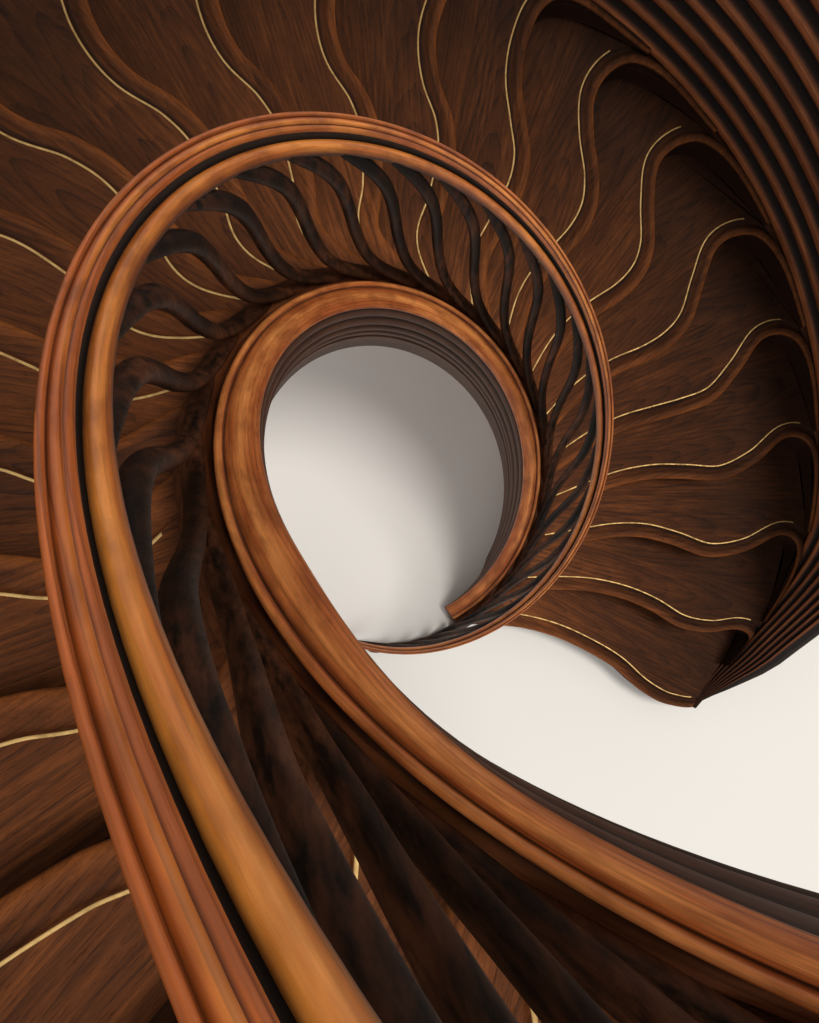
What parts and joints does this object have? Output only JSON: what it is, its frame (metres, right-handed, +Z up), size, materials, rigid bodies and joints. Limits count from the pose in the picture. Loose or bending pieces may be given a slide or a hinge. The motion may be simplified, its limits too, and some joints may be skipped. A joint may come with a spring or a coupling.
{
  "type": "spiral staircase",
  "caption": "Carved oak spiral stair flight around an open well, with a double handrail, S-shaped balusters and an outer wall of stacked ribs.",
  "frame": {"origin": "on the floor, under the middle of the inner string's foot, where the nosing line meets the floor", "axes": "+Z up, +X outward from the axis of the stair well along the foot of the flight, +Y towards the first steps"},
  "size_m": [4.138, 4.1671, 5.4514],
  "materials": {
    "rail_oak": "satin",
    "string_oak": "satin",
    "tread_oak": "satin",
    "dark_oak": "satin",
    "wall_oak": "satin",
    "brass": "polished"
  },
  "bodies": {
    "root": {"tread_01": "tread_oak", "tread_02": "tread_oak", "tread_03": "tread_oak", "tread_04": "tread_oak", "tread_05": "tread_oak", "tread_06": "tread_oak", "tread_07": "tread_oak", "tread_08": "tread_oak", "tread_09": "tread_oak", "tread_10": "tread_oak", "tread_11": "tread_oak", "tread_12": "tread_oak", "tread_13": "tread_oak", "tread_14": "tread_oak", "tread_15": "tread_oak", "tread_16": "tread_oak", "tread_17": "tread_oak", "tread_18": "tread_oak", "tread_19": "tread_oak", "tread_20": "tread_oak", "tread_21": "tread_oak", "tread_22": "tread_oak", "tread_23": "tread_oak", "tread_24": "tread_oak", "tread_25": "tread_oak", "risers": "tread_oak", "brass_inlays": "brass", "inner_string_low": "string_oak", "inner_string_high": "string_oak", "outer_string_low": "wall_oak", "outer_string_high": "wall_oak", "soffit_low": "wall_oak", "soffit_high": "wall_oak", "rib_1": "wall_oak", "rib_2": "wall_oak", "rib_3": "wall_oak", "rib_4": "wall_oak", "rib_5": "wall_oak", "rib_6": "wall_oak", "rib_7": "wall_oak", "rib_8": "wall_oak", "handrail": "rail_oak", "lower_rail": "rail_oak", "balusters_low": "dark_oak", "balusters_high": "dark_oak"}
  },
  "joints": []
}
